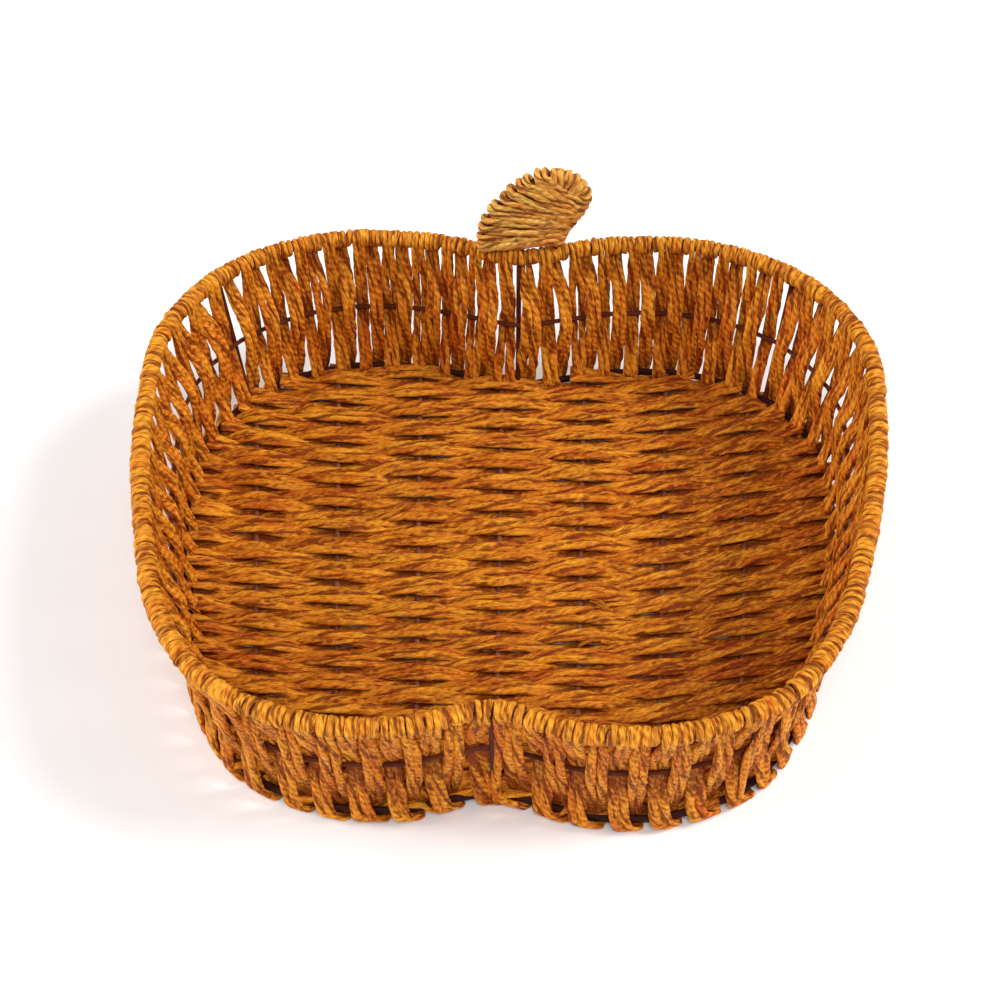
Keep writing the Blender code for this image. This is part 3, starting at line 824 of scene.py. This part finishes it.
def make_ends(outline, material):
    """Short tapered ends of cord that lie on the floor weave."""
    cords = Cords("cord_ends")
    for x, y, heading in CUT_ENDS:
        turn = np.radians(heading)
        along = np.array((np.cos(turn), np.sin(turn), 0.0))
        share = np.linspace(-1, 1, 12)
        rise = outline.base_height + 4.4 * MM - 2.0 * MM * share ** 2
        points = np.array((x, y, 0.0)) + along * share[:, None] * 4.5 * MM
        points[:, 2] = rise
        wide = 0.75 - 0.4 * np.abs(share)
        # Both faces of a cut end take painted shade
        cords.add(points, (-along[1], along[0], 0.0), wide, wide, 0.3 * MM, shelter=(0.8, 0.8))
    cords.build(material, ["floor_weave"])


# ---------------------------------------------------------------- studio

def make_studio():
    world = bpy.data.worlds.new("studio")
    bpy.context.scene.world = world
    world.use_nodes = True
    world.node_tree.nodes["Background"].inputs[0].default_value = (1.0, 1.0, 1.0, 1.0)
    world.node_tree.nodes["Background"].inputs[1].default_value = 0.3
    mesh = bpy.data.meshes.new("table")
    corners = [(x * TABLE_HALF, y * TABLE_HALF, 0) for x, y in ((-1, -1), (1, -1), (1, 1), (-1, 1))]
    mesh.from_pydata(corners, [], [(0, 1, 2, 3)])
    shader = Shader("table")
    shader.surface.inputs["Base Color"].default_value = (0.97, 0.97, 0.97, 1.0)
    shader.surface.inputs["Roughness"].default_value = 0.9
    mesh.materials.append(shader.material)
    table = bpy.data.objects.new("table", mesh)
    bpy.context.scene.collection.objects.link(table)
    for name, azimuth, elevation, strength in SUNS:
        light = bpy.data.lights.new(name, "SUN")
        light.energy = strength
        light.angle = SUN_SPREAD
        lamp = bpy.data.objects.new(name, light)
        turn, rise = np.radians((azimuth, elevation))
        lamp.location = (np.sin(turn) * np.cos(rise), -np.cos(turn) * np.cos(rise), np.sin(rise))
        lamp.rotation_euler = lamp.location.to_track_quat("Z", "Y").to_euler()
        bpy.context.scene.collection.objects.link(lamp)


def make_camera():
    """Looks down at the basket from the front, at 45 degrees."""
    azimuth, elevation, roll = np.radians(CAMERA_ANGLES)
    back = np.array((np.sin(azimuth) * np.cos(elevation), -np.cos(azimuth) * np.cos(elevation),
                     np.sin(elevation)))
    right = np.array((np.cos(azimuth), np.sin(azimuth), 0.0))
    up = np.cross(back, right)
    turned = right * np.cos(roll) + up * np.sin(roll)
    raised = up * np.cos(roll) - right * np.sin(roll)
    data = bpy.data.cameras.new("camera")
    data.lens = CAMERA_LENS
    data.sensor_width = 36.0
    data.clip_start = 0.01
    camera = bpy.data.objects.new("camera", data)
    place = np.array(CAMERA_TARGET) + CAMERA_DISTANCE * back
    camera.matrix_world = Matrix((*np.column_stack((turned, raised, back, place)).tolist(), (0, 0, 0, 1)))
    bpy.context.scene.collection.objects.link(camera)
    bpy.context.scene.camera = camera


def main():
    outline = Outline()
    # The frame wears one brown paint at three brightnesses: the base ring's darker copy is painted shade for
    # the shadowed holes at the wall's foot, and the stakes' lighter copy is a painted highlight where they
    # catch light in the floor gaps
    wire = wire_material("brown_wire_paint", srgb(66, 20, 8), srgb(98, 42, 22))
    ring = wire_material("base_ring_shaded_paint", srgb(36, 7, 2), srgb(60, 18, 8))
    stake = wire_material("stake_lit_paint", srgb(92, 46, 30), srgb(134, 78, 56))
    for name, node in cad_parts.items():
        if "wire" in name or "upright" in name or "stake" in name:
            node.data.materials.clear()
            node.data.materials.append(ring if "base" in name else stake if "stake" in name else wire)
    # One paper cord given a brightness per part as painted light: the leaf's lighter colours are a painted
    # highlight, and the wall's are lighter and the rim's darker for how light falls on them. The first, darkest
    # colour is the painted shade for grooves and set-back faces
    deep_shade = srgb(100, 8, 0)
    wall = cord_material("wall_cord", srgb(196, 70, 0), srgb(255, 176, 50), deep_shade, 0.08)
    rim = cord_material("rim_cord", srgb(180, 72, 2), srgb(236, 160, 48), deep_shade, 0.05)
    floor = cord_material("floor_cord", srgb(174, 64, 0), srgb(242, 164, 40), deep_shade, 0.02)
    leaf = cord_material("leaf_cord", srgb(232, 120, 22), srgb(255, 214, 108), deep_shade, 0.05)
    make_wall(outline, wall, rim)
    make_floor(outline, floor)
    make_leaf(outline, leaf)
    make_ends(outline, floor)
    make_studio()
    make_camera()
    bpy.context.scene.view_settings.view_transform = "Standard"


main()
